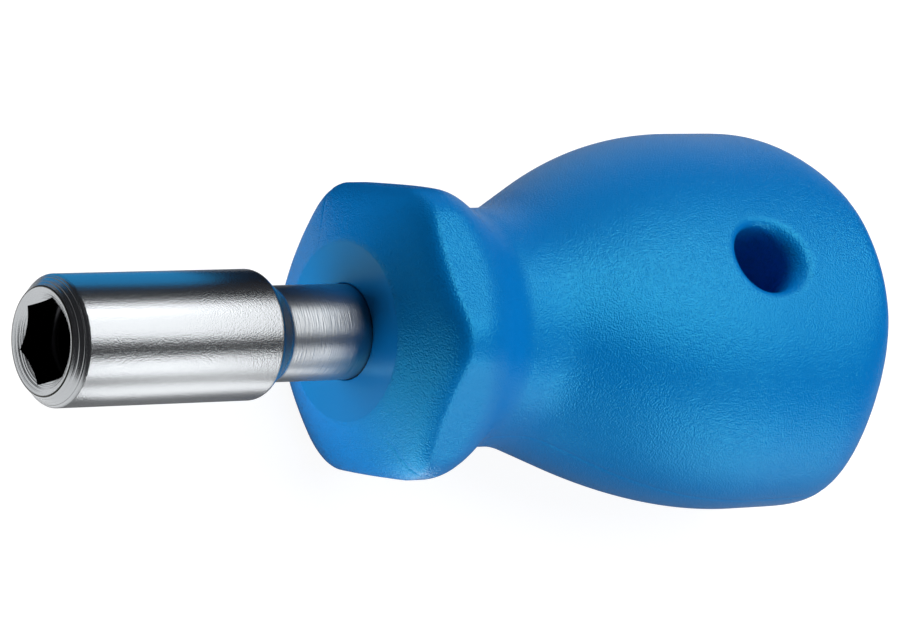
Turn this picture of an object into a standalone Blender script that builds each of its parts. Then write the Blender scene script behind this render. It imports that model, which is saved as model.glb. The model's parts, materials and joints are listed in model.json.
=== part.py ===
"""Stubby screwdriver that holds quarter-inch hexagon bits.

Four pieces: the moulded handle, the turned bit holder, the snap ring in a groove of the
holder's socket, and the magnet at the bottom of that socket. The tool lies along X, with
the socket mouth at the low end and the handle at the high end. Z is the axis of the
hanging hole, so the plane where the two halves of the mould part is Z = 0.
"""

import math

import bmesh
import bpy
from mathutils import Matrix, Vector

MM = 0.001

# Bit holder: lengths run from the socket mouth
BARREL_DIAMETER = 10.7 * MM
BARREL_LENGTH = 19.9 * MM
MOUTH_FACE_DIAMETER = 8.8 * MM
MOUTH_CHAMFER_LENGTH = 1.1 * MM
MOUTH_RIM = 0.15 * MM  # flat ring between the outer chamfer and the countersink
REAR_CONE_LENGTH = 1.7 * MM
SHANK_DIAMETER = 7.9 * MM
REACH = 29.55 * MM  # from the mouth to the front of the handle

# Tang: the end of the shank that the handle is moulded round
TANG_FLATS = 6.0 * MM
TANG_FLATS_START = 8.0 * MM  # behind the front of the handle
TANG_HEAD_LENGTH = 4.0 * MM  # full round behind the flats, so it can't pull out
TANG_END_CHAMFER = 0.8 * MM
TANG_TO_HOLE_WALL = 5.0 * MM

# Socket for the bits
SOCKET_FLATS = 6.4 * MM
SOCKET_TURN = math.radians(15)  # of its flats against the handle's, from Z towards Y
SOCKET_OVERRUN = 0.5 * MM  # hexagon cut past the magnet's face
COUNTERSINK_HALF_ANGLE = math.radians(60)
DRILL_POINT_HALF_ANGLE = math.radians(59)

# Magnet
MAGNET_DEPTH = 11.5 * MM  # from the mouth to its face
MAGNET_DIAMETER = 5.4 * MM
MAGNET_LENGTH = 3.5 * MM
MAGNET_EDGE = 0.25 * MM

# Retaining ring
RING_DEPTH = 3.6 * MM  # from the mouth to the middle of the wire
RING_BORE = 6.6 * MM
RING_WIRE = 0.8 * MM
RING_OPENING = 3.0 * MM

# Handle: lengths run from its front face
HANDLE_LENGTH = 50.25 * MM
BOSS_DIAMETER = 15.0 * MM
COLLAR_FLATS = 24.0 * MM
COLLAR_CORNER_ROUND = 4.6 * MM
COLLAR_EDGE_ROUND = 2.0 * MM
COLLAR_FRONT_ANGLE = math.radians(25.5)  # how far the front face leans back
COLLAR_LENGTH = 10.75 * MM  # to where the rear cone reaches the neck
COLLAR_REAR_ANGLE = math.radians(39.7)
NECK_DIAMETER = 20.0 * MM
NECK_ROUND = 1.5 * MM
FLARE_START = 15.8 * MM
FLARE_LENGTH = 13.5 * MM
FLARE_ROUND = 1.8 * MM
SHOULDER_ROUND = 8.1 * MM
BODY_THICKNESS = 25.4 * MM  # across the hanging hole
BODY_WIDTH = 34.0 * MM  # across the parting line
BODY_HEXAGON_POWER = 4.85  # 4 is a plain oval, more gives flatter sides
DOME_LENGTH_ACROSS_HOLE = 3.2 * MM
DOME_POWER_ACROSS_HOLE = 4.5
DOME_LENGTH_ALONG_PARTING = 10.4 * MM
DOME_POWER_ALONG_PARTING = 4.5

# Hanging hole
HOLE_DIAMETER = 6.2 * MM
HOLE_FROM_END = 14.0 * MM
HOLE_LIP_ROUND = 0.8 * MM

# Clearances
MOULDED_GAP = 0.3 * MM  # between the tang and the plastic round it
MAGNET_GAP = 0.3 * MM
RING_PLAY = 0.3 * MM  # each side of the wire in its groove
CUT_OVERSHOOT = 1.0 * MM  # how far a cutter reaches past what it cuts

# Facets
HANDLE_SIDES = 48
TURNED_STEPS = 48
MAGNET_STEPS = 32
HOLE_STEPS = 36
RING_POINTS = 40
LIP_STEPS = 5
DOME_RINGS = 14

HEXAGON_SIDES = 6
HALF_SIDE = math.pi / HEXAGON_SIDES
MERGE_DISTANCE = 0.00001

# Places worked out from the sizes above, on the world's X axis
overall_length = REACH + HANDLE_LENGTH
mouth_x = -overall_length / 2
handle_x = mouth_x + REACH
end_x = handle_x + HANDLE_LENGTH
hole_x = end_x - HOLE_FROM_END
tang_end_x = hole_x - HOLE_DIAMETER / 2 - HOLE_LIP_ROUND - TANG_TO_HOLE_WALL
magnet_x = mouth_x + MAGNET_DEPTH
ring_x = mouth_x + RING_DEPTH


def clear_scene():
    for item in list(bpy.data.objects):
        bpy.data.objects.remove(item, do_unlink=True)


def new_collection(name):
    group = bpy.data.collections.new(name)
    bpy.context.scene.collection.children.link(group)
    return group


clear_scene()
parts = new_collection("bit_holder_screwdriver")
cutters = new_collection("cutters")
tool_axis = bpy.data.objects.new("tool_axis", None)
parts.objects.link(tool_axis)


def finish_material(name, colour, roughness, metallic):
    material = bpy.data.materials.new(name)
    material.use_nodes = True
    shader = material.node_tree.nodes["Principled BSDF"]
    shader.inputs["Base Color"].default_value = (*colour, 1.0)
    shader.inputs["Roughness"].default_value = roughness
    shader.inputs["Metallic"].default_value = metallic
    return material


def add_part(name, data, material, place):
    part = bpy.data.objects.new(name, data)
    part.location = place
    part.parent = tool_axis
    part.data.materials.append(material)
    parts.objects.link(part)
    return part


def add_cutter(name, data, place):
    cutter = bpy.data.objects.new(name, data)
    cutter.location = place
    cutter.hide_render = True
    cutter.display_type = "WIRE"
    cutters.objects.link(cutter)
    return cutter


def cut(target, cutter):
    step = target.modifiers.new("cut_" + cutter.name, "BOOLEAN")
    step.operation = "DIFFERENCE"
    step.solver = "EXACT"
    step.object = cutter


def mesh_from(bm, name):
    bmesh.ops.recalc_face_normals(bm, faces=bm.faces)
    mesh = bpy.data.meshes.new(name)
    bm.to_mesh(mesh)
    bm.free()
    return mesh


def turned_profile(name, outline):
    """Mesh of a lathe outline: radius and height, from the bore's bottom over the top and down."""
    bm = bmesh.new()
    points = [bm.verts.new((radius, 0.0, height)) for radius, height in outline]
    for first, second in zip(points, points[1:]):
        bm.edges.new((first, second))
    mesh = bpy.data.meshes.new(name)
    bm.to_mesh(mesh)
    bm.free()
    return mesh


def turn(item, steps):
    lathe = item.modifiers.new("lathe", "SCREW")
    lathe.axis = "Z"
    lathe.angle = 2 * math.pi
    lathe.steps = steps
    lathe.render_steps = steps
    lathe.use_merge_vertices = True
    lathe.merge_threshold = MERGE_DISTANCE
    lathe.use_smooth_shade = True


def bar(name, radius, start_x, end, sides, roll):
    """Round or hexagonal bar along X, from start_x to end, rolled about X."""
    bm = bmesh.new()
    bmesh.ops.create_cone(
        bm, cap_ends=True, segments=sides, radius1=radius, radius2=radius, depth=end - start_x
    )
    lay_down = Matrix.Rotation(math.pi / 2, 3, "Y")
    bmesh.ops.rotate(bm, verts=bm.verts, cent=Vector(), matrix=Matrix.Rotation(roll, 3, "X") @ lay_down)
    return add_cutter(name, mesh_from(bm, name), ((start_x + end) / 2, 0.0, 0.0))


def slab(name, start_x, end, width, low_z, high_z):
    """Box along X that spans the width in Y and low_z to high_z in Z."""
    bm = bmesh.new()
    bmesh.ops.create_cube(bm, size=1.0)
    bmesh.ops.scale(bm, verts=bm.verts, vec=(end - start_x, width, high_z - low_z))
    place = ((start_x + end) / 2, 0.0, (low_z + high_z) / 2)
    return add_cutter(name, mesh_from(bm, name), place)


def smooth_min(first, second, reach):
    """The smaller value, with the corner between the two rounded over the reach."""
    overlap = max(0.0, reach - abs(first - second)) / reach
    return min(first, second) - overlap * overlap * reach / 4


def smooth_max(first, second, reach):
    return -smooth_min(-first, -second, reach)


def rounded_hexagon(angle, flats, corner_round):
    """Radius of a hexagon with exact flats and arcs at its corners; a flat faces angle 0."""
    from_flat = abs((angle + HALF_SIDE) % (2 * HALF_SIDE) - HALF_SIDE)
    inner = flats / 2 - corner_round
    if math.tan(from_flat) * flats / 2 <= inner * math.tan(HALF_SIDE):
        return flats / 2 / math.cos(from_flat)
    from_corner = HALF_SIDE - from_flat
    centre = inner / math.cos(HALF_SIDE)
    across = centre * math.sin(from_corner)
    return centre * math.cos(from_corner) + math.sqrt(corner_round**2 - across**2)


def soft_hexagon(angle):
    """Radius of a pillowed hexagon of half-width 1 across its flats; a flat faces angle 0."""
    total = 0.0
    for side in range(HEXAGON_SIDES):
        total += max(0.0, math.cos(angle - 2 * side * HALF_SIDE)) ** BODY_HEXAGON_POWER
    at_flat = 1 + 2 * math.cos(2 * HALF_SIDE) ** BODY_HEXAGON_POWER
    return (total / at_flat) ** (-1 / BODY_HEXAGON_POWER)


def collar_radius(along, angle):
    """Hexagon bar, trimmed by the leaning front face and by the rear cone down to the neck."""
    flats = rounded_hexagon(angle, COLLAR_FLATS, COLLAR_CORNER_ROUND)
    front = BOSS_DIAMETER / 2 + along / math.tan(COLLAR_FRONT_ANGLE)
    fall = (COLLAR_LENGTH - along) * math.tan(COLLAR_REAR_ANGLE)
    rear = NECK_DIAMETER / 2 + smooth_max(0.0, fall, NECK_ROUND)
    return smooth_min(smooth_min(flats, rear, COLLAR_EDGE_ROUND), front, COLLAR_EDGE_ROUND)


def dome(along, length, power):
    """Share of the full size that is left in the rounded end of the handle."""
    into_dome = max(0.0, (along - HANDLE_LENGTH + length) / length)
    return math.sqrt(max(0.0, 1 - into_dome**power))


def body_point(along, angle):
    """Point of the grip: round at the neck, then a pillowed hexagon wider in Y than in Z."""
    grown = smooth_max(0.0, along - FLARE_START, FLARE_ROUND)
    grown = smooth_min(grown, FLARE_LENGTH, SHOULDER_ROUND) / FLARE_LENGTH
    neck = NECK_DIAMETER / 2
    half_thickness = neck + (BODY_THICKNESS / 2 - neck) * grown
    half_width = neck + (BODY_WIDTH / 2 - neck) * grown
    half_thickness *= dome(along, DOME_LENGTH_ACROSS_HOLE, DOME_POWER_ACROSS_HOLE)
    half_width *= dome(along, DOME_LENGTH_ALONG_PARTING, DOME_POWER_ALONG_PARTING)
    pillow = 1 + grown * (soft_hexagon(angle) - 1)
    at_corner = 1 + grown * (soft_hexagon(math.pi / 2) - 1)
    return pillow * math.sin(angle) * half_width / at_corner, pillow * math.cos(angle) * half_thickness


def handle_point(along, angle):
    """Y and Z of the handle's skin; the angle runs from Z towards Y."""
    neck_middle = (COLLAR_LENGTH + FLARE_START) / 2
    if along > neck_middle:
        return body_point(along, angle)
    radius = collar_radius(along, angle)
    return radius * math.sin(angle), radius * math.cos(angle)


def handle_stations():
    """Places along the handle for the loft's rings, closer together where it bends."""
    corner = rounded_hexagon(HALF_SIDE, COLLAR_FLATS, COLLAR_CORNER_ROUND)
    reach = COLLAR_EDGE_ROUND
    front_end = (corner - BOSS_DIAMETER / 2 + reach) * math.tan(COLLAR_FRONT_ANGLE)
    rear_start = COLLAR_LENGTH - (corner - NECK_DIAMETER / 2 + reach) / math.tan(COLLAR_REAR_ANGLE)
    rear_end = COLLAR_LENGTH + NECK_ROUND / math.tan(COLLAR_REAR_ANGLE)
    dome_start = HANDLE_LENGTH - DOME_LENGTH_ALONG_PARTING
    flare_end = min(FLARE_START + FLARE_LENGTH + SHOULDER_ROUND, dome_start)
    zones = [
        (0.0, front_end, 9),
        (front_end, max(front_end, rear_start), 1),
        (max(front_end, rear_start), rear_end, 12),
        (rear_end, FLARE_START - FLARE_ROUND, 1),
        (FLARE_START - FLARE_ROUND, FLARE_START + FLARE_ROUND, 4),
        (FLARE_START + FLARE_ROUND, flare_end, 11),
        (flare_end, dome_start, 2),
    ]
    places = []
    for start, end, count in zones:
        places += [start + (end - start) * step / count for step in range(count)]
    for step in range(DOME_RINGS):
        sweep = math.pi / 2 * step / DOME_RINGS
        places.append(dome_start + DOME_LENGTH_ALONG_PARTING * math.sin(sweep))
    return [place for place, before in zip(places, [-1.0] + places) if place - before > MERGE_DISTANCE]


def handle_skin():
    """Loft from the collar's hexagon to the round neck, the pillowed body and the domed end."""
    bm = bmesh.new()
    angles = [2 * math.pi * side / HANDLE_SIDES for side in range(HANDLE_SIDES)]
    rings = []
    for along in handle_stations():
        rings.append([bm.verts.new((along, *handle_point(along, angle))) for angle in angles])
    pole = bm.verts.new((HANDLE_LENGTH, 0.0, 0.0))
    bm.faces.new(rings[0])
    for ring, behind in zip(rings, rings[1:]):
        for side in range(HANDLE_SIDES):
            beside = (side + 1) % HANDLE_SIDES
            bm.faces.new((ring[side], behind[side], behind[beside], ring[beside]))
    for side in range(HANDLE_SIDES):
        bm.faces.new((rings[-1][side], pole, rings[-1][(side + 1) % HANDLE_SIDES]))
    return mesh_from(bm, "handle")


def tang_cutters(name, gap):
    """The two side slabs that leave the tang's flats, drawn back by the gap on every side."""
    start_x = handle_x + TANG_FLATS_START + gap
    end = tang_end_x - TANG_HEAD_LENGTH - gap
    near = TANG_FLATS / 2 + gap
    far = SHANK_DIAMETER / 2 + CUT_OVERSHOOT
    width = SHANK_DIAMETER + 2 * CUT_OVERSHOOT
    above = slab(name + "_above", start_x, end, width, near, far)
    below = slab(name + "_below", start_x, end, width, -far, -near)
    return above, below


def hanging_hole_outline():
    """Lathe outline of the hanging hole, with its lips rounded where it meets the skin."""
    surface = handle_point(hole_x - handle_x, 0.0)[1]
    radius = HOLE_DIAMETER / 2
    lip = [(0.0, surface + CUT_OVERSHOOT), (radius + HOLE_LIP_ROUND, surface + CUT_OVERSHOOT)]
    for step in range(LIP_STEPS + 1):
        sweep = math.pi / 2 * step / LIP_STEPS
        inward = HOLE_LIP_ROUND * (1 - math.sin(sweep))
        down = HOLE_LIP_ROUND * (1 - math.cos(sweep))
        lip.append((radius + inward, surface - down))
    return lip + [(across, -height) for across, height in reversed(lip)]


def make_handle():
    blue = finish_material("blue_plastic", (0.0, 0.21, 0.55), 0.42, 0.0)
    handle = add_part("handle", handle_skin(), blue, (handle_x, 0.0, 0.0))
    cavity_radius = SHANK_DIAMETER / 2 + MOULDED_GAP
    cavity = bar(
        "tang_cavity", cavity_radius, handle_x - CUT_OVERSHOOT, tang_end_x + MOULDED_GAP, TURNED_STEPS, 0.0
    )
    for rib in tang_cutters("tang_rib", MOULDED_GAP):
        cut(cavity, rib)
    cut(handle, cavity)
    hole = add_cutter("hanging_hole", turned_profile("hanging_hole", hanging_hole_outline()), (hole_x, 0, 0))
    turn(hole, HOLE_STEPS)
    cut(handle, hole)
    handle.data.shade_smooth()
    handle.data.set_sharp_from_angle(angle=math.radians(35))


def bit_holder_outline():
    """Lathe outline of the holder: magnet pocket, ring groove, countersunk mouth, barrel and tang."""
    pocket = MAGNET_DIAMETER / 2 + MAGNET_GAP
    pocket_end = MAGNET_DEPTH + MAGNET_LENGTH + MAGNET_GAP
    groove = RING_BORE / 2 + RING_WIRE + RING_PLAY
    groove_half = RING_WIRE / 2 + RING_PLAY
    countersink = MOUTH_FACE_DIAMETER / 2 - MOUTH_RIM
    barrel = BARREL_DIAMETER / 2
    shank = SHANK_DIAMETER / 2
    tang_end = tang_end_x - mouth_x
    radius_and_depth = [
        (0.0, pocket_end + pocket / math.tan(DRILL_POINT_HALF_ANGLE)),
        (pocket, pocket_end),
        (pocket, RING_DEPTH + groove_half),
        (groove, RING_DEPTH + groove_half),
        (groove, RING_DEPTH - groove_half),
        (pocket, RING_DEPTH - groove_half),
        (pocket, (countersink - pocket) / math.tan(COUNTERSINK_HALF_ANGLE)),
        (countersink, 0.0),
        (MOUTH_FACE_DIAMETER / 2, 0.0),
        (barrel, MOUTH_CHAMFER_LENGTH),
        (barrel, BARREL_LENGTH),
        (shank, BARREL_LENGTH + REAR_CONE_LENGTH),
        (shank, tang_end - TANG_END_CHAMFER),
        (shank - TANG_END_CHAMFER, tang_end),
        (0.0, tang_end),
    ]
    return [(radius, -depth) for radius, depth in radius_and_depth]


def make_bit_holder():
    steel = finish_material("satin_chromed_steel", (0.47, 0.485, 0.5), 0.3, 1.0)
    outline = turned_profile("bit_holder", bit_holder_outline())
    holder = add_part("bit_holder", outline, steel, (mouth_x, 0.0, 0.0))
    holder.rotation_euler = (0.0, -math.pi / 2, 0.0)
    turn(holder, TURNED_STEPS)
    hexagon_end = magnet_x + SOCKET_OVERRUN
    corner = SOCKET_FLATS / 2 / math.cos(HALF_SIDE)
    # A flat of the bar faces Z, and a turn from Z towards Y is a negative roll about X
    cut(holder, bar("socket", corner, mouth_x - CUT_OVERSHOOT, hexagon_end, HEXAGON_SIDES, -SOCKET_TURN))
    for side in tang_cutters("tang_flat", 0.0):
        cut(holder, side)


def make_magnet():
    nickel = finish_material("nickel_plate", (0.55, 0.54, 0.5), 0.28, 1.0)
    bm = bmesh.new()
    bmesh.ops.create_cone(
        bm,
        cap_ends=True,
        segments=MAGNET_STEPS,
        radius1=MAGNET_DIAMETER / 2,
        radius2=MAGNET_DIAMETER / 2,
        depth=MAGNET_LENGTH,
    )
    bmesh.ops.rotate(bm, verts=bm.verts, cent=Vector(), matrix=Matrix.Rotation(math.pi / 2, 3, "Y"))
    magnet = add_part("magnet", mesh_from(bm, "magnet"), nickel, (magnet_x + MAGNET_LENGTH / 2, 0.0, 0.0))
    edges = magnet.modifiers.new("edges", "BEVEL")
    edges.width = MAGNET_EDGE
    edges.segments = 1
    edges.limit_method = "ANGLE"


def make_retaining_ring():
    spring = finish_material("spring_steel", (0.32, 0.32, 0.34), 0.35, 1.0)
    radius = (RING_BORE + RING_WIRE) / 2
    half_opening = math.asin(RING_OPENING / 2 / radius)
    wire = bpy.data.curves.new("retaining_ring", "CURVE")
    wire.dimensions = "3D"
    wire.bevel_depth = RING_WIRE / 2
    wire.bevel_resolution = 2
    wire.use_fill_caps = True
    path = wire.splines.new("POLY")
    path.points.add(RING_POINTS - 1)
    for step, point in enumerate(path.points):
        angle = half_opening + (2 * math.pi - 2 * half_opening) * step / (RING_POINTS - 1)
        point.co = (0.0, radius * math.sin(angle), radius * math.cos(angle), 1.0)
    ring = add_part("retaining_ring", wire, spring, (ring_x, 0.0, 0.0))
    weld = ring.modifiers.new("weld", "WELD")
    weld.merge_threshold = MERGE_DISTANCE


make_handle()
make_bit_holder()
make_magnet()
make_retaining_ring()
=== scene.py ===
# %% [markdown]
# # A stubby screwdriver that holds bits
# The tool has four pieces: a blue moulded handle, a turned steel bit holder, and inside the
# holder's hexagon socket a magnet and a snap ring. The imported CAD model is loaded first, and
# it fixes where everything sits. Each CAD piece is then replaced by a finer one of the same
# size and place, because a CAD solid is made to fit and not to be looked at closely.

import json
import math

import bmesh
import bpy
from mathutils import Matrix, Vector


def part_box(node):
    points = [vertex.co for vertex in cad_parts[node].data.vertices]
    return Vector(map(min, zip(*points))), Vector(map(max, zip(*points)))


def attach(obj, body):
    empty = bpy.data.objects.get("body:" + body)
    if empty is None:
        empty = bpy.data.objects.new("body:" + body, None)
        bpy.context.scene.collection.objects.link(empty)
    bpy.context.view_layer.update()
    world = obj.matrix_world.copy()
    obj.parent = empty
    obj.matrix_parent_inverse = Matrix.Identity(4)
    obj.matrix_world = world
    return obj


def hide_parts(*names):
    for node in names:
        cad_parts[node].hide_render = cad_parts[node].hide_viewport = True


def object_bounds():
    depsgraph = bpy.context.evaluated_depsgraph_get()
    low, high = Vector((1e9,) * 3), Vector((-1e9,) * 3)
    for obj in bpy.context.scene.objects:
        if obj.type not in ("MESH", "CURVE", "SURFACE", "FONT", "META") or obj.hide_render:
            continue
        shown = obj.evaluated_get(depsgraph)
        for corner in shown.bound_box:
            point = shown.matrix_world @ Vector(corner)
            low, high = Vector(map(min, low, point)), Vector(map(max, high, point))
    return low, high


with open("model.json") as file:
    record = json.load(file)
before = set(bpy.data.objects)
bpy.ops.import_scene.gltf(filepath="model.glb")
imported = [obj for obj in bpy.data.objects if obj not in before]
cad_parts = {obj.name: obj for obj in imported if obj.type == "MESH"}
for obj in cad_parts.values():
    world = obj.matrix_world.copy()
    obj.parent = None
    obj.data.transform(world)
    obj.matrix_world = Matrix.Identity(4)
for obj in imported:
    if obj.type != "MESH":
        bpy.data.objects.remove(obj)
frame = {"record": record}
cad_low, cad_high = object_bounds()
MM = 0.001
print("CAD box in mm:", [round(size / MM, 2) for size in cad_high - cad_low])

# %% [markdown]
# ## Places from the CAD model
# The frame tells where each piece starts and ends, so those sizes aren't typed again here.
# The tool lies along X: the socket mouth is at the low end and the handle at the high end.
# Z runs along the hanging hole, so the two halves of the handle's mould part at Z = 0.

# %% Read the places
handle_low, handle_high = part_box("handle")
holder_low, holder_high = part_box("bit_holder")
magnet_low, magnet_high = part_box("magnet")
ring_low, ring_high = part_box("retaining_ring")
handle_front = handle_low.x
handle_length = handle_high.x - handle_low.x
mouth = holder_low.x
barrel_radius = holder_high.y
physics = frame["record"]["physics"]
openings = {opening["name"]: opening["box_m"] for opening in physics["openings"]}
hole_low, hole_high = openings["hanging_hole"]
hole_x = (hole_low[0] + hole_high[0]) / 2
hole_distance = (hole_x - handle_front) / MM
print(f"handle {handle_length / MM:.2f} mm long, hole {hole_distance:.2f} mm from its front")

# %% [markdown]
# ## Camera
# A long lens stands half a metre away and looks down on the tool from the socket's side.
# The picture's upright isn't the world's: the tool was photographed lying across the frame,
# so the camera is rolled until Y runs nearly straight up in the picture. A place, a point to
# look at and an upright direction are easier to read than three rotation angles.

# %% Set up the camera
CAMERA_PLACE = Vector((-286.2, -155.4, 343.0)) * MM
CAMERA_AIM = Vector((0.92, 0.66, -0.02)) * MM
PICTURE_UP = Vector((0.025, 0.902, 0.431))
LENS_MM = 227.35
SENSOR_MM = 36.0


def facing(place, aim, side_up):
    """Matrix of something at a place whose -Z looks at the aim, with its Y towards side_up."""
    back = (place - aim).normalized()
    right = side_up.cross(back).normalized()
    upright = back.cross(right)
    turned = Matrix((right, upright, back)).transposed()
    return Matrix.Translation(place) @ turned.to_4x4()


camera_data = bpy.data.cameras.new("camera")
camera_data.lens = LENS_MM
camera_data.sensor_width = SENSOR_MM
camera = bpy.data.objects.new("camera", camera_data)
camera.matrix_world = facing(CAMERA_PLACE, CAMERA_AIM, PICTURE_UP)
bpy.context.scene.collection.objects.link(camera)
bpy.context.scene.camera = camera
print(f"camera {CAMERA_PLACE.length / MM:.0f} mm from the middle of the tool")

# %% [markdown]
# ## Light
# Polished steel shows its surroundings, so some lamps are hung for what the barrel mirrors and
# others only for the light they give. The key, the two fills and the lamp on the table aren't
# mirrored: they light the grip evenly from above and from both sides, and the one on the table
# throws light up onto the collar's leaning front, as a white table does. Three softboxes are
# mirrored. One overhead and one low at the near side draw two bright bands along the barrel,
# with a dark line of the room between them, and a narrow strip brightens the grip's highlight.
# A lamp's power is worked out from how bright its face should look, so a larger softbox isn't
# a brighter one.

# %% Hang the softboxes
TOOL_MIDDLE = Vector((0.0, 0.0, 0.0))
TOOL_AXIS = Vector((1.0, 0.0, 0.0))
POWER_PER_BRIGHTNESS = 4.0  # watts for a square metre of lamp that looks as bright as paper


def softbox(name, place, length, width, brightness, mirrored=True, aim=TOOL_MIDDLE):
    """Rectangular lamp, by default aimed at the tool, with its length along the tool's axis."""
    lamp = bpy.data.lights.new(name, "AREA")
    lamp.shape = "RECTANGLE"
    lamp.size = width
    lamp.size_y = length
    lamp.energy = POWER_PER_BRIGHTNESS * brightness * length * width
    stand = bpy.data.objects.new(name, lamp)
    stand.matrix_world = facing(Vector(place), Vector(aim), TOOL_AXIS)
    stand.visible_camera = False
    stand.visible_glossy = mirrored
    bpy.context.scene.collection.objects.link(stand)
    print(f"{name}: {lamp.energy:.2f} W")


BOUNCE_PLACE = Vector((-0.080, -0.004, cad_low.z + 0.3 * MM))
STRAIGHT_UP = BOUNCE_PLACE + Vector((0.0, 0.0, 1.0))
# name, place, length along the tool and width in metres, brightness
softbox("soft_key", (0.17, -0.04, 0.43), 0.44, 0.42, 0.6, mirrored=False)
softbox("near_fill", (0.10, -0.46, 0.045), 0.50, 0.12, 4.0, mirrored=False)
softbox("far_fill", (0.05, 0.42, 0.20), 0.40, 0.15, 4.2, mirrored=False)
softbox("table_bounce", BOUNCE_PLACE, 0.136, 0.050, 2.0, mirrored=False, aim=STRAIGHT_UP)
softbox("overhead_softbox", (0.20, 0.03, 0.43), 0.30, 0.52, 2.0)
softbox("near_softbox", (0.22, -0.42, 0.12), 0.20, 0.25, 2.4)
softbox("upper_strip", (0.15, 0.165, 0.45), 0.22, 0.06, 1.9)

# %% [markdown]
# ## Floor and surroundings
# The tool lies on a plain white table. Its light comes from the lamps, so the table keeps a
# shadow. A little glow is added only where the camera or a reflection looks at it, which
# brings the lit table up to white without putting more light on the tool.

# %% Lay the floor
FLOOR_HALF_SIZE = 4.0
FLOOR_COLOUR = (0.25, 0.25, 0.25, 1.0)
FLOOR_GLOW = 0.92  # as the camera sees it
FLOOR_SHINE = 0.1  # as a reflection sees it
ROOM_GREY = (0.03, 0.03, 0.033, 1.0)


def add_node(tree, kind, values=None, **settings):
    node = tree.nodes.new(kind)
    for name, value in settings.items():
        setattr(node, name, value)
    for name, value in (values or {}).items():
        node.inputs[name].default_value = value
    return node


def feed(tree, value, socket):
    """Gives a socket a number, or a link from another node's output."""
    if isinstance(value, bpy.types.NodeSocket):
        tree.links.new(value, socket)
    else:
        socket.default_value = value


def math_node(tree, operation, *operands):
    """Output of a Math node whose operands are numbers or other nodes' outputs."""
    node = add_node(tree, "ShaderNodeMath", operation=operation)
    for place, operand in enumerate(operands):
        feed(tree, operand, node.inputs[place])
    return node.outputs[0]


def floor_material():
    material = bpy.data.materials.new("white_table")
    material.use_nodes = True
    tree = material.node_tree
    tree.nodes.clear()
    matt = add_node(tree, "ShaderNodeBsdfDiffuse", {"Color": FLOOR_COLOUR})
    glow = add_node(tree, "ShaderNodeEmission")
    path = add_node(tree, "ShaderNodeLightPath")
    from_camera, through_glass = path.outputs["Is Camera Ray"], path.outputs["Is Transmission Ray"]
    seen = math_node(tree, "MAXIMUM", from_camera, through_glass)
    seen = math_node(tree, "MULTIPLY", seen, FLOOR_GLOW)
    mirrored = math_node(tree, "MULTIPLY", path.outputs["Is Glossy Ray"], FLOOR_SHINE)
    tree.links.new(math_node(tree, "ADD", seen, mirrored), glow.inputs["Strength"])
    both = add_node(tree, "ShaderNodeAddShader")
    tree.links.new(matt.outputs[0], both.inputs[0])
    tree.links.new(glow.outputs[0], both.inputs[1])
    output = add_node(tree, "ShaderNodeOutputMaterial")
    tree.links.new(both.outputs[0], output.inputs["Surface"])
    return material


def object_from(bm, name, material):
    """Linked object with the bmesh's shape and one material."""
    mesh = bpy.data.meshes.new(name)
    bm.to_mesh(mesh)
    bm.free()
    mesh.materials.append(material)
    made = bpy.data.objects.new(name, mesh)
    bpy.context.scene.collection.objects.link(made)
    return made


floor_bm = bmesh.new()
bmesh.ops.create_grid(floor_bm, x_segments=1, y_segments=1, size=FLOOR_HALF_SIZE)
bmesh.ops.translate(floor_bm, verts=floor_bm.verts, vec=(0.0, 0.0, cad_low.z))
floor = object_from(floor_bm, "floor", floor_material())

world = bpy.data.worlds.new("studio")
world.use_nodes = True
world.node_tree.nodes["Background"].inputs["Color"].default_value = ROOM_GREY
bpy.context.scene.world = world
bpy.context.scene.view_settings.view_transform = "Standard"
print(f"floor at {cad_low.z / MM:.2f} mm")

# %% [markdown]
# ## Cards
# Photographers stand small cards next to an object to shape its reflections. A low blue card
# behind the barrel draws the cool line along its top, and a black one next to it ends that line
# before the shank. Three white ones lie on the table: one before the socket, where the mouth and
# the chamfer mirror it, one at the near side of the barrel for its lower band, and one before
# the grip. Only reflections see them: they throw no light or shadow of their own.

# %% Place the cards
CARD_BLUE = (0.03, 0.32, 0.70, 1.0)
CARD_BLACK = (0.01, 0.012, 0.02, 1.0)
CARD_WHITE = (1.0, 1.0, 1.0, 1.0)
OFF_FLOOR = 0.2 * MM


def card(name, colour, glow, low, high):
    """Glowing rectangle between two corners that only reflections see."""
    material = bpy.data.materials.new(name)
    material.use_nodes = True
    tree = material.node_tree
    tree.nodes.clear()
    face = add_node(tree, "ShaderNodeEmission", {"Color": colour, "Strength": glow})
    output = add_node(tree, "ShaderNodeOutputMaterial")
    tree.links.new(face.outputs[0], output.inputs["Surface"])
    low, high = Vector(low) * MM, Vector(high) * MM
    bm = bmesh.new()
    bmesh.ops.create_grid(bm, x_segments=1, y_segments=1, size=0.5)
    if high.y == low.y:
        upright = Matrix.Rotation(math.pi / 2, 3, "X")
        bmesh.ops.rotate(bm, verts=bm.verts, cent=(0, 0, 0), matrix=upright)
    bmesh.ops.scale(bm, verts=bm.verts, vec=high - low)
    above_floor = Vector((0.0, 0.0, cad_low.z + OFF_FLOOR))
    bmesh.ops.translate(bm, verts=bm.verts, vec=(low + high) / 2 + above_floor)
    made = object_from(bm, name, material)
    made.visible_camera = False
    made.visible_shadow = False
    made.visible_diffuse = False
    print(f"{name}: {(high - low).length / MM:.0f} mm from corner to corner")


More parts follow.
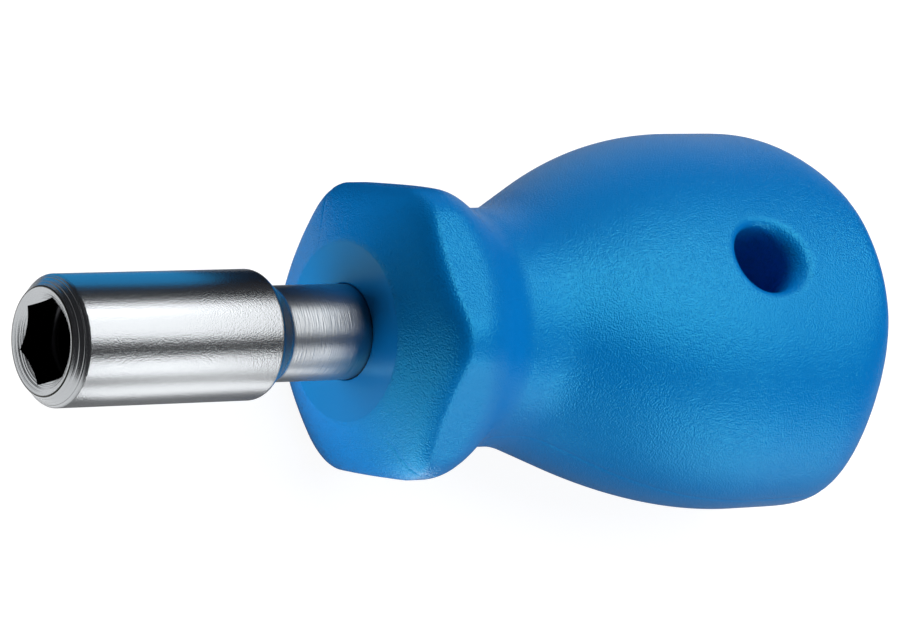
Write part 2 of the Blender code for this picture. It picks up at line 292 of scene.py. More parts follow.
# name, colour, brightness, lowest and highest corner in millimetres, with the floor at 0
card("blue_card", CARD_BLUE, 1.2, (-42, 22, 0), (-12, 22, 22))
card("black_card", CARD_BLACK, 1.0, (-12, 22, 0), (12, 22, 22))
card("front_card", CARD_WHITE, 1.3, (-200, -120, 0), (-36, 18, 0))
card("barrel_card", CARD_WHITE, 2.3, (-28, -48, 0), (4, -16, 0))
card("grip_card", CARD_WHITE, 1.5, (16, -170, 0), (160, -55, 0))

# %% [markdown]
# ## Shared surface effects
# Three effects turn up in more than one finish, so each is a node group that is built once.
# The first gives a point's place on the tool: how far along the axis it is and how far out
# from it. The second is a fine pebble grain, such as an etched mould leaves on plastic and a
# blasting machine on steel. The third is the set of fine rings that a lathe tool leaves.

# %% Build the node groups
def new_group(name, inputs, outputs):
    """Empty node group with float inputs, given with their defaults, and float outputs."""
    group = bpy.data.node_groups.new(name, "ShaderNodeTree")
    for socket, value in inputs.items():
        made = group.interface.new_socket(socket, in_out="INPUT", socket_type="NodeSocketFloat")
        made.default_value = value
    for socket in outputs:
        group.interface.new_socket(socket, in_out="OUTPUT", socket_type="NodeSocketFloat")
    return group, add_node(group, "NodeGroupInput"), add_node(group, "NodeGroupOutput")


def place_on_tool_group():
    group, _, result = new_group("place_on_tool", {}, ["Along", "Radius"])
    coordinates = add_node(group, "ShaderNodeTexCoord")
    axes = add_node(group, "ShaderNodeSeparateXYZ")
    group.links.new(coordinates.outputs["Object"], axes.inputs[0])
    squares = [
        math_node(group, "MULTIPLY", axes.outputs[axis], axes.outputs[axis]) for axis in "YZ"
    ]
    radius = math_node(group, "SQRT", math_node(group, "ADD", *squares))
    along = math_node(group, "SUBTRACT", axes.outputs["X"], mouth)
    group.links.new(along, result.inputs["Along"])
    group.links.new(radius, result.inputs["Radius"])
    return group


def pebble_grain_group():
    group, given, result = new_group("pebble_grain", {"Size": 0.2 * MM}, ["Height"])
    coordinates = add_node(group, "ShaderNodeTexCoord")
    frequency = math_node(group, "DIVIDE", 1.0, given.outputs["Size"])
    pebbles = add_node(group, "ShaderNodeTexVoronoi", {"Smoothness": 0.6}, feature="SMOOTH_F1")
    speckle = add_node(group, "ShaderNodeTexNoise", {"Detail": 2.0, "Roughness": 0.5})
    for texture in (pebbles, speckle):
        group.links.new(coordinates.outputs["Object"], texture.inputs["Vector"])
        group.links.new(frequency, texture.inputs["Scale"])
    rounded = math_node(group, "SUBTRACT", speckle.outputs[0], pebbles.outputs["Distance"])
    group.links.new(rounded, result.inputs["Height"])
    return group


def lathe_rings_group():
    group, given, result = new_group("lathe_rings", {"Spacing": 0.1 * MM}, ["Height"])
    place = add_node(group, "ShaderNodeGroup", node_tree=place_group)
    rings = add_node(
        group, "ShaderNodeTexNoise", {"Scale": 1.0, "Detail": 2.0}, noise_dimensions="1D"
    )
    turns = math_node(group, "DIVIDE", place.outputs["Radius"], given.outputs["Spacing"])
    group.links.new(turns, rings.inputs["W"])
    group.links.new(rings.outputs[0], result.inputs["Height"])
    return group


place_group = place_on_tool_group()
grain_group = pebble_grain_group()
rings_group = lathe_rings_group()
print("groups:", [group.name for group in bpy.data.node_groups])

# %% [markdown]
# ## Handle plastic
# The handle is moulded in one blue plastic, coloured all through. The mould was etched, so
# the skin has a fine grain that scatters its shine. Only the round disc behind the shank was
# a turned insert in the mould: it is smoother and carries faint rings. The material mixes
# both by a mask from the place on the tool.

# %% Mix the plastic
PLASTIC_BLUE = (0.0, 0.19, 0.59, 1.0)
BLUE_SHINE = (0.06, 0.80, 1.0, 1.0)
DISC_RADIUS = 7.4 * MM  # the turned insert behind the shank
DISC_DEPTH = 0.6 * MM  # how far behind the handle's front the mask reaches
PLASTIC_ROUGHNESS = 0.25
PLASTIC_SHINE = 1.0
PLASTIC_IOR = 1.6
GRAIN_SIZE = 0.15 * MM
GRAIN_DEPTH = 0.036 * MM
DISC_RING_SPACING = 0.25 * MM
DISC_RING_SHARE = 0.2  # of the grain's depth


def new_material(name, colour, roughness, metallic):
    material = bpy.data.materials.new(name)
    material.use_nodes = True
    shader = material.node_tree.nodes["Principled BSDF"]
    shader.inputs["Base Color"].default_value = colour
    shader.inputs["Roughness"].default_value = roughness
    shader.inputs["Metallic"].default_value = metallic
    return material, material.node_tree, shader


def bump(tree, height, depth, shader):
    """Puts a height, from 0 to 1, on the shader's normal with that depth in metres."""
    relief = add_node(tree, "ShaderNodeBump", {"Strength": 1.0, "Distance": depth})
    tree.links.new(height, relief.inputs["Height"])
    tree.links.new(relief.outputs[0], shader.inputs["Normal"])


def mixed(tree, factor, first, second):
    """Output of a Mix node between two numbers or outputs."""
    node = add_node(tree, "ShaderNodeMix", data_type="FLOAT")
    for name, value in (("Factor", factor), ("A", first), ("B", second)):
        feed(tree, value, node.inputs[name])
    return node.outputs[0]


def plastic_material():
    material, tree, shader = new_material("blue_plastic", PLASTIC_BLUE, PLASTIC_ROUGHNESS, 0.0)
    shader.inputs["Specular Tint"].default_value = BLUE_SHINE
    shader.inputs["Specular IOR Level"].default_value = PLASTIC_SHINE
    shader.inputs["IOR"].default_value = PLASTIC_IOR
    place = add_node(tree, "ShaderNodeGroup", node_tree=place_group)
    grain = add_node(tree, "ShaderNodeGroup", {"Size": GRAIN_SIZE}, node_tree=grain_group)
    rings = add_node(
        tree, "ShaderNodeGroup", {"Spacing": DISC_RING_SPACING}, node_tree=rings_group
    )
    inside = math_node(tree, "LESS_THAN", place.outputs["Radius"], DISC_RADIUS)
    front = math_node(tree, "LESS_THAN", place.outputs["Along"], handle_front - mouth + DISC_DEPTH)
    disc = math_node(tree, "MULTIPLY", inside, front)
    faint_rings = math_node(tree, "MULTIPLY", rings.outputs["Height"], DISC_RING_SHARE)
    bump(tree, mixed(tree, disc, grain.outputs["Height"], faint_rings), GRAIN_DEPTH, shader)
    return material


plastic = plastic_material()
print("made", plastic.name)

# %% [markdown]
# ## Handle
# The grip grows from a hexagonal collar, which keeps the tool from rolling off a bench, through
# a round neck to a soft six-sided body with a domed end. A designer lofts such a shape. Here
# one profile line is spun half round the axis, and every point of that half tube then moves
# to its place on the skin, which a few short formulas describe. The other half is a mirror
# image, just as the two halves of the mould meet at the parting line.

# %% Describe the skin
BOSS_DIAMETER = 15.0 * MM
COLLAR_FLATS = 24.0 * MM
COLLAR_CORNER_ROUND = 4.6 * MM
COLLAR_EDGE_ROUND = 2.0 * MM
COLLAR_FRONT_ANGLE = math.radians(25.5)
COLLAR_LENGTH = 10.75 * MM
COLLAR_REAR_ANGLE = math.radians(39.7)
NECK_DIAMETER = 20.0 * MM
NECK_ROUND = 1.5 * MM
FLARE_START = 15.8 * MM
FLARE_LENGTH = 13.5 * MM
FLARE_ROUND = 1.8 * MM
SHOULDER_ROUND = 8.1 * MM
BODY_HEXAGON_POWER = 4.85
DOME_LENGTH_ACROSS_HOLE = 3.2 * MM
DOME_POWER_ACROSS_HOLE = 4.5
DOME_LENGTH_ALONG_PARTING = 10.4 * MM
DOME_POWER_ALONG_PARTING = 4.5
HEXAGON_SIDES = 6
HALF_SIDE = math.pi / HEXAGON_SIDES
body_half_thickness = handle_high.z
body_half_width = handle_high.y
neck_middle = (COLLAR_LENGTH + FLARE_START) / 2


def smooth_min(first, second, reach):
    """The smaller value, with the corner between the two rounded over the reach."""
    overlap = max(0.0, reach - abs(first - second)) / reach
    return min(first, second) - overlap * overlap * reach / 4


def smooth_max(first, second, reach):
    return -smooth_min(-first, -second, reach)


def rounded_hexagon(angle, flats, corner_round):
    """Radius of a hexagon with arcs at its corners; a flat faces angle 0."""
    from_flat = abs((angle + HALF_SIDE) % (2 * HALF_SIDE) - HALF_SIDE)
    inner = flats / 2 - corner_round
    if math.tan(from_flat) * flats / 2 <= inner * math.tan(HALF_SIDE):
        return flats / 2 / math.cos(from_flat)
    from_corner = HALF_SIDE - from_flat
    centre = inner / math.cos(HALF_SIDE)
    across = centre * math.sin(from_corner)
    return centre * math.cos(from_corner) + math.sqrt(corner_round**2 - across**2)


def soft_hexagon(angle):
    """Radius of a pillowed hexagon of half-width 1 across its flats."""
    sides = [max(0.0, math.cos(angle - 2 * side * HALF_SIDE)) for side in range(HEXAGON_SIDES)]
    at_flat = 1 + 2 * math.cos(2 * HALF_SIDE) ** BODY_HEXAGON_POWER
    total = sum(side**BODY_HEXAGON_POWER for side in sides)
    return (total / at_flat) ** (-1 / BODY_HEXAGON_POWER)


def collar_radius(along, angle):
    """Hexagon bar, trimmed by the leaning front face and by the rear cone down to the neck."""
    flats = rounded_hexagon(angle, COLLAR_FLATS, COLLAR_CORNER_ROUND)
    front = BOSS_DIAMETER / 2 + along / math.tan(COLLAR_FRONT_ANGLE)
    fall = (COLLAR_LENGTH - along) * math.tan(COLLAR_REAR_ANGLE)
    rear = NECK_DIAMETER / 2 + smooth_max(0.0, fall, NECK_ROUND)
    return smooth_min(smooth_min(flats, rear, COLLAR_EDGE_ROUND), front, COLLAR_EDGE_ROUND)


def dome(along, length, power):
    """Share of the full size that is left in the rounded end of the handle."""
    into_dome = max(0.0, (along - handle_length + length) / length)
    return math.sqrt(max(0.0, 1 - into_dome**power))


def body_point(along, angle):
    """Y and Z on the grip: round at the neck, then a pillowed hexagon wider in Y than in Z."""
    grown = smooth_max(0.0, along - FLARE_START, FLARE_ROUND)
    grown = smooth_min(grown, FLARE_LENGTH, SHOULDER_ROUND) / FLARE_LENGTH
    neck = NECK_DIAMETER / 2
    half_thickness = neck + (body_half_thickness - neck) * grown
    half_width = neck + (body_half_width - neck) * grown
    half_thickness *= dome(along, DOME_LENGTH_ACROSS_HOLE, DOME_POWER_ACROSS_HOLE)
    half_width *= dome(along, DOME_LENGTH_ALONG_PARTING, DOME_POWER_ALONG_PARTING)
    pillow = 1 + grown * (soft_hexagon(angle) - 1)
    at_corner = 1 + grown * (soft_hexagon(math.pi / 2) - 1)
    across = pillow * math.sin(angle) * half_width / at_corner
    return across, pillow * math.cos(angle) * half_thickness


def handle_point(along, angle):
    """Y and Z of the handle's skin; the angle runs from Z towards Y."""
    if along > neck_middle:
        return body_point(along, angle)
    radius = collar_radius(along, angle)
    return radius * math.sin(angle), radius * math.cos(angle)


print(f"half thickness at the hole: {handle_point(hole_x - handle_front, 0.0)[1] / MM:.2f} mm")

# %% [markdown]
# ### Spin and shape one half
# The profile starts deep inside, in the bore that the shank fills, comes out over the disc,
# and runs back along a plain tube to the tip of the dome. Spinning gives clean rows and
# columns. The columns are then crowded towards the parting line, where a moulded handle has
# a hair-thin ridge of plastic that pressed into the seam.

# %% Spin the half handle
SHANK_DIAMETER = 7.9 * MM
SHANK_FIT = 0.04 * MM  # the plastic sits tight on the shank
SHANK_LIP = 0.12 * MM
DISC_RECESS = 0.03 * MM
DISC_STEP = 0.1 * MM
BORE_PAST_TANG = 0.3 * MM
HALF_COLUMNS = 128
COLUMN_CROWDING = 0.35
COLLAR_ROW = 0.25 * MM
BODY_ROW = 0.45 * MM
DOME_ROWS = 30
LIP_ROWS = 4
TUBE_RADIUS = NECK_DIAMETER / 2
MERGE = 0.001 * MM


def spread(start, end, spacing):
    """Even places from start up to, but without, the end."""
    count = math.ceil((end - start) / spacing)
    return [start + (end - start) * step / count for step in range(count)]


def handle_rows():
    """Distances of the rows behind the handle's front, closer together where the skin bends."""
    dome_start = handle_length - DOME_LENGTH_ALONG_PARTING
    rows = spread(0.0, neck_middle, COLLAR_ROW) + spread(neck_middle, dome_start, BODY_ROW)
    for row in range(DOME_ROWS):
        share = math.sin(math.pi / 2 * row / DOME_ROWS)
        rows.append(dome_start + DOME_LENGTH_ALONG_PARTING * share)
    return rows


def handle_profile():
    """Distance behind the handle's front, and radius, from the bore's bottom to the dome's tip."""
    bore = SHANK_DIAMETER / 2 + SHANK_FIT
    bore_end = holder_high.x - handle_front + BORE_PAST_TANG
    profile = [(bore_end, 0.0), (bore_end, bore)]
    for row in range(LIP_ROWS + 1):
        sweep = math.pi / 2 * row / LIP_ROWS
        back = DISC_RECESS + SHANK_LIP * (1 - math.sin(sweep))
        profile.append((back, bore + SHANK_LIP * (1 - math.cos(sweep))))
    profile.append((DISC_RECESS, DISC_RADIUS - DISC_STEP))
    profile.append((0.0, DISC_RADIUS))
    profile += [(along, TUBE_RADIUS) for along in handle_rows()]
    profile.append((handle_length, 0.0))
    return profile


def spin_profile(bm, profile, start, angle, steps):
    """Joins profile points with edges and spins them about the tool's axis."""
    points = [bm.verts.new((start + along, radius, 0.0)) for along, radius in profile]
    line = [bm.edges.new(pair) for pair in zip(points, points[1:])]
    full_turn = math.isclose(angle, 2 * math.pi)
    bmesh.ops.spin(
        bm,
        geom=points + line,
        cent=(0, 0, 0),
        axis=TOOL_AXIS,
        angle=angle,
        steps=steps,
        use_merge=full_turn,
    )
    bmesh.ops.remove_doubles(bm, verts=bm.verts, dist=MERGE)


def shape_skin(bm):
    """Moves the plain tube onto the handle's skin."""
    for vert in bm.verts:
        radius = math.hypot(vert.co.y, vert.co.z)
        angle = math.atan2(vert.co.y, vert.co.z)
        crowded = angle + COLUMN_CROWDING * math.sin(2 * angle)
        if math.isclose(radius, TUBE_RADIUS, abs_tol=MERGE):
            vert.co.y, vert.co.z = handle_point(vert.co.x - handle_front, crowded)
        elif radius > MERGE:
            vert.co.y = radius * math.sin(crowded)
            vert.co.z = radius * math.cos(crowded)


handle_bm = bmesh.new()
spin_profile(handle_bm, handle_profile(), handle_front, math.pi, HALF_COLUMNS)
shape_skin(handle_bm)
print(f"half handle: {len(handle_bm.faces)} faces")

# %% [markdown]
# ### Hanging hole
# A smooth opening in a curved skin is easiest if the mesh runs round it. A block of faces is
# taken out, and its border is extruded inwards in steps: first from the block to a circle, on
# the skin, then round the lip, then down the bore to the parting plane. A Boolean cut would
# leave long thin faces there, and they would show in the shine on the lip.

# %% Open the hole
HOLE_RADIUS = 3.1 * MM
HOLE_LIP = 0.8 * MM
BROAD_LIP = 1.9 * MM  # towards the end of the handle, where the skin falls away
BLOCK_HALF_LENGTH = 6.1 * MM
BLOCK_HALF_ANGLE = math.radians(27)
CIRCLE_STEPS = 7
HOLE_LIP_STEPS = 8
BORE_STEPS = 8
BISECTIONS = 40


def skin_height(x, y):
    """Z of the upper skin over a point of the XY plane, found by halving the angle's range."""
    along = x - handle_front
    low, high = -math.pi / 3, math.pi / 3
    for _ in range(BISECTIONS):
        middle = (low + high) / 2
        if body_point(along, middle)[0] < y:
            low = middle
        else:
            high = middle
    return body_point(along, low)[1]


def block_faces(bm):
    """Faces of the upper skin in the block round the hole."""
    chosen = []
    side = body_point(hole_x - handle_front, BLOCK_HALF_ANGLE)[0]
    for face in bm.faces:
        centre = face.calc_center_median()
        near = abs(centre.x - hole_x) < BLOCK_HALF_LENGTH and abs(centre.y) < side
        if near and centre.z > body_half_thickness / 2:
            chosen.append(face)
    return chosen


def draw_in(bm, border, place):
    """Extrudes the border once; each new point's place follows from how far and which way it is."""
    made = bmesh.ops.extrude_edge_only(bm, edges=border)["geom"]
    for vert in made:
        if isinstance(vert, bmesh.types.BMVert):
            offset = Vector((vert.co.x - hole_x, vert.co.y))
            vert.co = place(offset.length, offset.normalized(), vert.co.z)
    return [edge for edge in made if isinstance(edge, bmesh.types.BMEdge) and edge.is_boundary]


def on_skin(distance, direction, drop):
    x = hole_x + distance * direction.x
    y = distance * direction.y
    return Vector((x, y, skin_height(x, y) - drop))


def lip_width(way):
    """How broad the hole's lip is in a direction: it grows towards the end of the handle."""
    return HOLE_LIP + (BROAD_LIP - HOLE_LIP) * max(0.0, way.x) ** 2


def open_hole(bm):
    bmesh.ops.delete(bm, geom=block_faces(bm), context="FACES")
    border = [
        edge
        for edge in bm.edges
        if edge.is_boundary and min(vert.co.z for vert in edge.verts) > body_half_thickness / 2
    ]
    for step in range(CIRCLE_STEPS):
        left = (CIRCLE_STEPS - step - 1) / (CIRCLE_STEPS - step)

        def towards_lip(distance, way, z):
            edge = HOLE_RADIUS + lip_width(way)
            return on_skin(edge + (distance - edge) * left, way, 0.0)

        border = draw_in(bm, border, towards_lip)
    for step in range(1, HOLE_LIP_STEPS + 1):
        sweep = math.pi / 2 * step / HOLE_LIP_STEPS

        def round_lip(distance, way, z):
            across = lip_width(way) * (1 - math.sin(sweep))
            drop = lip_width(way) * (1 - math.cos(sweep))
            return on_skin(HOLE_RADIUS + across, way, drop)

        border = draw_in(bm, border, round_lip)
    for step in range(BORE_STEPS):
        left = (BORE_STEPS - step - 1) / (BORE_STEPS - step)
        border = draw_in(
            bm,
            border,
            lambda reach, way, z: Vector((hole_x + reach * way.x, reach * way.y, z * left)),
        )


open_hole(handle_bm)
print(f"half handle with its hole: {len(handle_bm.faces)} faces")

# %% [markdown]
# ### Parting line and mirror
# The ridge on the parting line is a twentieth of a millimetre high, just enough to catch the
# light. The points near Z = 0 are pushed out along their normals before the half is mirrored,
# so both halves share it.

# %% Mirror the half
RIDGE_HEIGHT = 0.05 * MM
RIDGE_WIDTH = 0.16 * MM
RIDGE_FADE = 4.0 * MM  # the ridge dies out near the disc and the dome's tip
SHARP_ANGLE = math.radians(32)


def raise_parting_line(bm):
    bm.normal_update()
    moves = {}
    for vert in bm.verts:
        out = math.hypot(vert.co.y, vert.co.z)
        fade = min(1.0, max(0.0, (out - DISC_RADIUS) / RIDGE_FADE))
        height = RIDGE_HEIGHT * fade * math.exp(-((vert.co.z / RIDGE_WIDTH) ** 2))
        if abs(vert.co.x - hole_x) > HOLE_RADIUS + BROAD_LIP or out > body_half_thickness / 2:
            moves[vert] = vert.normal * height
    for vert, move in moves.items():
        vert.co.x += move.x
        vert.co.y += move.y


def finish_piece(bm, name, material, body, node):
    """Smooth object with sharp creases that rides on its body in place of the CAD node."""
    bmesh.ops.remove_doubles(bm, verts=bm.verts, dist=MERGE)
    bmesh.ops.recalc_face_normals(bm, faces=bm.faces)
    loose = sum(1 for edge in bm.edges if not edge.is_manifold)
    piece = object_from(bm, name, material)
    piece.data.shade_smooth()
    piece.data.set_sharp_from_angle(angle=SHARP_ANGLE)
    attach(piece, body)
    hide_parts(node)
    triangles = sum(len(face.vertices) - 2 for face in piece.data.polygons)
    print(f"{name}: {triangles} triangles, {loose} open edges")


raise_parting_line(handle_bm)
everything = handle_bm.verts[:] + handle_bm.edges[:] + handle_bm.faces[:]
bmesh.ops.mirror(handle_bm, geom=everything, matrix=Matrix.Identity(4), merge_dist=MERGE, axis="Z")
finish_piece(handle_bm, "grip", plastic, "tool", "handle")

# %% [markdown]
# ## Steel of the bit holder
# The holder is turned from bar and plated in satin chrome. Its barrel was blasted before
# plating, so the shine breaks up into a fine grain. The shank was polished with a belt, which
# leaves scratches round it. The mouth's face and chamfer show plain lathe rings, and the
# inside of the socket is painted near-black as painted shade for the deep socket. All of it is
# one piece of steel, so it is one material whose finish changes with the place on the tool.

# %% Mix the steel
CHROME = (0.39, 0.405, 0.418, 1.0)
# painted shade: a near-black colour stands in for the shade inside the deep socket
SOCKET_PAINTED_SHADE = (0.03, 0.03, 0.028, 1.0)
MOUTH_FACE_RADIUS = 4.4 * MM
MOUTH_RIM = 0.15 * MM
MOUTH_CHAMFER = 1.1 * MM
COUNTERSINK_HALF_ANGLE = math.radians(60)
SOCKET_RADIUS = 4.45 * MM  # all of the socket with its groove and pocket lies within it
SOCKET_DEPTH = 17.5 * MM
UNDER_CONE = 0.03 * MM
POLISH_START = 21.8 * MM
BLASTED_ROUGHNESS = 0.27
POLISHED_ROUGHNESS = 0.33
RELIEF = 0.012 * MM
BLAST_SIZE = 0.14 * MM
BLAST_SHARE = 0.75  # of the relief
LATHE_SPACING = 0.14 * MM
LATHE_SHARE = 5.0
BELT_FREQUENCY = (9000.0, 700.0, 700.0)  # per metre: many scratches along the axis, long round it
BELT_SHARE = 2.0


def socket_shade_mask(tree, along, radius):
    """Mask for the socket's painted shade: 1 inside the socket, behind the countersink's cone, and
    0 on the rest of the holder.
    """
    slope = 1 / math.tan(COUNTERSINK_HALF_ANGLE)
    cone = math_node(tree, "SUBTRACT", MOUTH_FACE_RADIUS - MOUTH_RIM, radius)
    cone = math_node(tree, "MULTIPLY_ADD", cone, slope, UNDER_CONE)
    mask = math_node(tree, "GREATER_THAN", along, cone)
    for value, limit in ((radius, SOCKET_RADIUS), (along, SOCKET_DEPTH)):
        mask = math_node(tree, "MULTIPLY", mask, math_node(tree, "LESS_THAN", value, limit))
    return mask


def steel_material():
    material, tree, shader = new_material("satin_chrome", CHROME, BLASTED_ROUGHNESS, 1.0)
    place = add_node(tree, "ShaderNodeGroup", node_tree=place_group)
    along, radius = place.outputs["Along"], place.outputs["Radius"]
    # painted shade: the socket's inside gets the near-black colour
    socket_shade = socket_shade_mask(tree, along, radius)
    colour = add_node(tree, "ShaderNodeMix", data_type="RGBA")
    colour.inputs["A"].default_value = CHROME
    colour.inputs["B"].default_value = SOCKET_PAINTED_SHADE
    tree.links.new(socket_shade, colour.inputs["Factor"])
    tree.links.new(colour.outputs["Result"], shader.inputs["Base Color"])
    turned = math_node(tree, "LESS_THAN", along, MOUTH_CHAMFER)
    polished = math_node(tree, "GREATER_THAN", along, POLISH_START)
    grain = add_node(tree, "ShaderNodeGroup", {"Size": BLAST_SIZE}, node_tree=grain_group)
    rings = add_node(tree, "ShaderNodeGroup", {"Spacing": LATHE_SPACING}, node_tree=rings_group)
    coordinates = add_node(tree, "ShaderNodeTexCoord")
    stretch = add_node(tree, "ShaderNodeMapping", {"Scale": BELT_FREQUENCY})
    belt = add_node(tree, "ShaderNodeTexNoise", {"Scale": 1.0, "Detail": 2.0})
    tree.links.new(coordinates.outputs["Object"], stretch.inputs[0])
    tree.links.new(stretch.outputs[0], belt.inputs["Vector"])
    blasting = math_node(tree, "MULTIPLY", grain.outputs["Height"], BLAST_SHARE)
    turning = math_node(tree, "MULTIPLY", rings.outputs["Height"], LATHE_SHARE)
    scratches = math_node(tree, "MULTIPLY", belt.outputs[0], BELT_SHARE)
    height = mixed(tree, polished, mixed(tree, turned, blasting, turning), scratches)
    roughness = mixed(tree, polished, BLASTED_ROUGHNESS, POLISHED_ROUGHNESS)
    tree.links.new(roughness, shader.inputs["Roughness"])
    bump(tree, height, RELIEF, shader)
    return material


steel = steel_material()
print("made", steel.name)

# %% [markdown]
# ## Bit holder
# Along its axis the holder is a chain of round, flatted and hexagonal sections: the drilled
# pocket, the broached socket with the groove for the snap ring, the mouth, the barrel, the
# shank and the tang inside the handle. One small circle starts at the drill's point. Its border
# is extruded again and again, and after each step its points move onto the next section. All
# sections keep the same number of points, so every wall is made of four-sided faces.

# %% Extrude the sections
LOOP_POINTS = 96
SOCKET_FLATS = 6.4 * MM
SOCKET_TURN = math.radians(15)
SOCKET_OVERRUN = 0.5 * MM
BARREL_LENGTH = 19.9 * MM
REAR_CONE = 1.7 * MM
MAGNET_GAP = 0.3 * MM
RING_PLAY = 0.3 * MM
DRILL_HALF_ANGLE = math.radians(59)
TANG_FLATS = 6.0 * MM
TANG_FLATS_START = 8.0 * MM
TANG_HEAD = 4.0 * MM
TANG_CHAMFER = 0.8 * MM
TIP_RADIUS = 0.02 * MM
shank_radius = SHANK_DIAMETER / 2
reach = handle_front - mouth
tang_end = holder_high.x - mouth
magnet_depth = magnet_low.x - mouth
pocket_radius = magnet_high.y + MAGNET_GAP
pocket_end = magnet_high.x - mouth + MAGNET_GAP
groove_radius = ring_high.y + RING_PLAY
groove_front = ring_low.x - mouth - RING_PLAY
groove_back = ring_high.x - mouth + RING_PLAY
hexagon_end = magnet_depth + SOCKET_OVERRUN


def round_section(radius):
    return lambda angle: radius


def hexagon_section(flats):
    """Radius of the socket's hexagon by the angle from Z towards Y."""
    def radius_at(angle):
        from_flat = (angle - SOCKET_TURN + HALF_SIDE) % (2 * HALF_SIDE) - HALF_SIDE
        return flats / 2 / math.cos(from_flat)

    return radius_at


def flatted_section(radius, flats):
    """Radius of a round bar with two flats, square to Z."""
    return lambda angle: min(radius, flats / 2 / max(abs(math.cos(angle)), flats / 2 / radius))


def on_countersink(radius):
    """Depth of the countersink's cone at a radius."""
    return (MOUTH_FACE_RADIUS - MOUTH_RIM - radius) / math.tan(COUNTERSINK_HALF_ANGLE)


def first_section(bm, depth, radius):
    """Border of a small capped circle; six of its points face the hexagon's corners."""
    roll = Matrix.Rotation(-SOCKET_TURN, 4, "X") @ Matrix.Rotation(math.pi / 2, 4, "Y")
    lay = Matrix.Translation((mouth + depth, 0.0, 0.0)) @ roll
    bmesh.ops.create_circle(bm, cap_ends=True, segments=LOOP_POINTS, radius=radius, matrix=lay)
    return bm.edges[:]


def next_section(bm, border, depth, radius_at):
    """Extrudes the border to the next section, whose depth may follow the radius."""
    made = bmesh.ops.extrude_edge_only(bm, edges=border)["geom"]
    for vert in made:
        if isinstance(vert, bmesh.types.BMVert):
            angle = math.atan2(vert.co.y, vert.co.z)
            radius = radius_at(angle)
            back = depth(radius) if callable(depth) else depth
            vert.co = (mouth + back, radius * math.sin(angle), radius * math.cos(angle))
    return [edge for edge in made if isinstance(edge, bmesh.types.BMEdge) and edge.is_boundary]


holder_bm = bmesh.new()
flats_start = reach + TANG_FLATS_START
flats_end = tang_end - TANG_HEAD
tip_depth = pocket_end + pocket_radius / math.tan(DRILL_HALF_ANGLE)
socket = hexagon_section(SOCKET_FLATS)
shank = round_section(shank_radius)
tang = flatted_section(shank_radius, TANG_FLATS)
sections = [
    (pocket_end, round_section(pocket_radius)),
    (hexagon_end, round_section(pocket_radius)),
    (hexagon_end, socket),
    (groove_back, socket),
    (groove_back, round_section(groove_radius)),
    (groove_front, round_section(groove_radius)),
    (groove_front, socket),
    (on_countersink, socket),
    (0.0, round_section(MOUTH_FACE_RADIUS - MOUTH_RIM)),
    (0.0, round_section(MOUTH_FACE_RADIUS)),
    (MOUTH_CHAMFER, round_section(barrel_radius)),
    (BARREL_LENGTH, round_section(barrel_radius)),
    (BARREL_LENGTH + REAR_CONE, shank),
    (flats_start, shank),
    (flats_start, tang),
    (flats_end, tang),
    (flats_end, shank),
    (tang_end - TANG_CHAMFER, shank),
    (tang_end, round_section(shank_radius - TANG_CHAMFER)),
]
border = first_section(holder_bm, tip_depth, TIP_RADIUS)
for depth, radius_at in sections:
    border = next_section(holder_bm, border, depth, radius_at)
bmesh.ops.edgeloop_fill(holder_bm, edges=border)
bmesh.ops.remove_doubles(holder_bm, verts=holder_bm.verts, dist=MERGE)
print(f"bit holder: {len(holder_bm.faces)} faces from {len(sections)} sections")

# %% [markdown]
# ### Edges of the bit holder
# No turned edge is perfectly sharp. Narrow bevels on the rims catch the light as thin bright
# lines, and a wider one rounds the foot of the rear cone, as the lathe tool's nose does.

# %% Break the edges
RIM_EDGE = 0.05 * MM
BARREL_EDGE = 0.12 * MM
REAR_EDGE = 0.25 * MM
CONE_FOOT = 0.4 * MM
NARROW_SEGMENTS = 3
ROUND_SEGMENTS = 6


def ring_edges(bm, depth, radius):
    """Edges whose two ends lie at that depth behind the mouth and that far from the axis."""
    found = []
    for edge in bm.edges:
        depths = [vert.co.x - mouth - depth for vert in edge.verts]
        radii = [math.hypot(vert.co.y, vert.co.z) - radius for vert in edge.verts]
        if max(map(abs, depths + radii)) < MERGE:
            found.append(edge)
    return found


def break_edges(bm, edges, width, segments):
    bmesh.ops.bevel(
        bm,
        geom=edges,
        offset=width,
        offset_type="OFFSET",
        segments=segments,
        profile=0.5,
        affect="EDGES",
        material=-1,
    )


holder_bm.normal_update()
break_edges(holder_bm, ring_edges(holder_bm, 0.0, MOUTH_FACE_RADIUS), RIM_EDGE, NARROW_SEGMENTS)
barrel_front = ring_edges(holder_bm, MOUTH_CHAMFER, barrel_radius)
break_edges(holder_bm, barrel_front, BARREL_EDGE, NARROW_SEGMENTS)
barrel_rear = ring_edges(holder_bm, BARREL_LENGTH, barrel_radius)
break_edges(holder_bm, barrel_rear, REAR_EDGE, ROUND_SEGMENTS)
cone_foot = ring_edges(holder_bm, BARREL_LENGTH + REAR_CONE, shank_radius)
break_edges(holder_bm, cone_foot, CONE_FOOT, ROUND_SEGMENTS)
finish_piece(holder_bm, "holder", steel, "tool", "bit_holder")

# %% [markdown]
# ## Magnet
# The magnet is a short nickel-plated disc in the pocket, and the bit stops against it. It is
# a cylinder with its rims broken.

# %% Make the magnet
NICKEL = (0.55, 0.54, 0.50, 1.0)
NICKEL_ROUGHNESS = 0.3
NICKEL_RING_SPACING = 0.3 * MM
NICKEL_RELIEF = 0.004 * MM
MAGNET_EDGE = 0.25 * MM
MAGNET_EDGE_SEGMENTS = 4
MAGNET_POINTS = 64

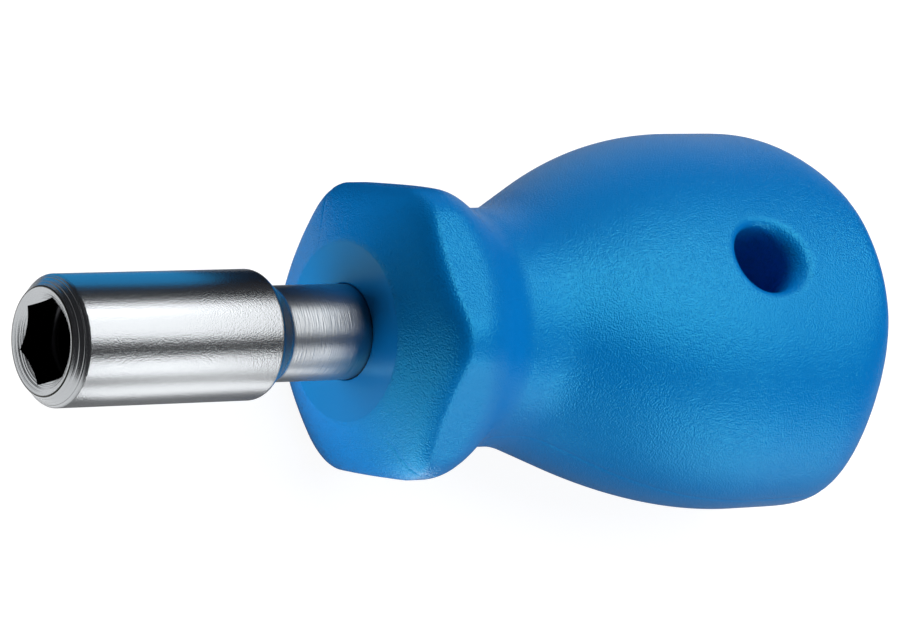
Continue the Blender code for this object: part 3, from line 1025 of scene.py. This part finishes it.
nickel, nickel_tree, nickel_shader = new_material("nickel_plate", NICKEL, NICKEL_ROUGHNESS, 1.0)
nickel_rings = add_node(
    nickel_tree, "ShaderNodeGroup", {"Spacing": NICKEL_RING_SPACING}, node_tree=rings_group
)
bump(nickel_tree, nickel_rings.outputs["Height"], NICKEL_RELIEF, nickel_shader)
magnet_bm = bmesh.new()
magnet_middle = (magnet_low + magnet_high) / 2
bmesh.ops.create_cone(
    magnet_bm,
    cap_ends=True,
    segments=MAGNET_POINTS,
    radius1=magnet_high.y,
    radius2=magnet_high.y,
    depth=magnet_high.x - magnet_low.x,
    matrix=Matrix.Translation(magnet_middle) @ Matrix.Rotation(math.pi / 2, 4, "Y"),
)
rims = [edge for edge in magnet_bm.edges if abs(edge.verts[0].co.x - edge.verts[1].co.x) < MERGE]
break_edges(magnet_bm, rims, MAGNET_EDGE, MAGNET_EDGE_SEGMENTS)
finish_piece(magnet_bm, "magnet_disc", nickel, "tool", "magnet")

# %% [markdown]
# ## Snap ring
# A C-shaped ring of spring wire lies loose in the socket's groove, so it can turn there. A
# circle of the wire's size is spun round the axis, but not all the way: the gap lets the ring
# spring open for a bit.

# %% Wind the snap ring
# painted shade: the wire's colour is darkened to stand in for the shade round the ring deep in the
# socket
SHADED_SPRING_STEEL = (0.10, 0.10, 0.11, 1.0)
RING_OPENING = 3.0 * MM
WIRE_POINTS = 16
RING_STEPS = 72
WIRE_END_ROUND = 0.15 * MM
WIRE_ROUGHNESS = 0.5
WIRE_GRAIN_SIZE = 0.1 * MM
WIRE_RELIEF = 0.004 * MM

spring, spring_tree, spring_shader = new_material("spring_wire", SHADED_SPRING_STEEL, WIRE_ROUGHNESS, 1.0)
spring_grain = add_node(
    spring_tree, "ShaderNodeGroup", {"Size": WIRE_GRAIN_SIZE}, node_tree=grain_group
)
bump(spring_tree, spring_grain.outputs["Height"], WIRE_RELIEF, spring_shader)
wire_radius = (ring_high.x - ring_low.x) / 2
ring_radius = -ring_low.z - wire_radius
half_opening = math.asin(RING_OPENING / 2 / ring_radius)
ring_middle_x = (ring_low.x + ring_high.x) / 2
ring_bm = bmesh.new()
wire_turn = Matrix.Rotation(math.pi / 2, 4, "X")
wire_place = Matrix.Translation((ring_middle_x, 0.0, ring_radius)) @ wire_turn
bmesh.ops.create_circle(
    ring_bm, cap_ends=True, segments=WIRE_POINTS, radius=wire_radius, matrix=wire_place
)
start = Matrix.Rotation(half_opening, 3, "X")
bmesh.ops.rotate(ring_bm, verts=ring_bm.verts, cent=(0, 0, 0), matrix=start)
bmesh.ops.spin(
    ring_bm,
    geom=ring_bm.verts[:] + ring_bm.edges[:] + ring_bm.faces[:],
    cent=(0, 0, 0),
    axis=TOOL_AXIS,
    angle=2 * math.pi - 2 * half_opening,
    steps=RING_STEPS,
)
ends = [face for face in ring_bm.faces if len(face.verts) == WIRE_POINTS]
end_edges = [edge for face in ends for edge in face.edges]
break_edges(ring_bm, end_edges, WIRE_END_ROUND, NARROW_SEGMENTS)
finish_piece(ring_bm, "snap_ring", spring, "ring", "retaining_ring")
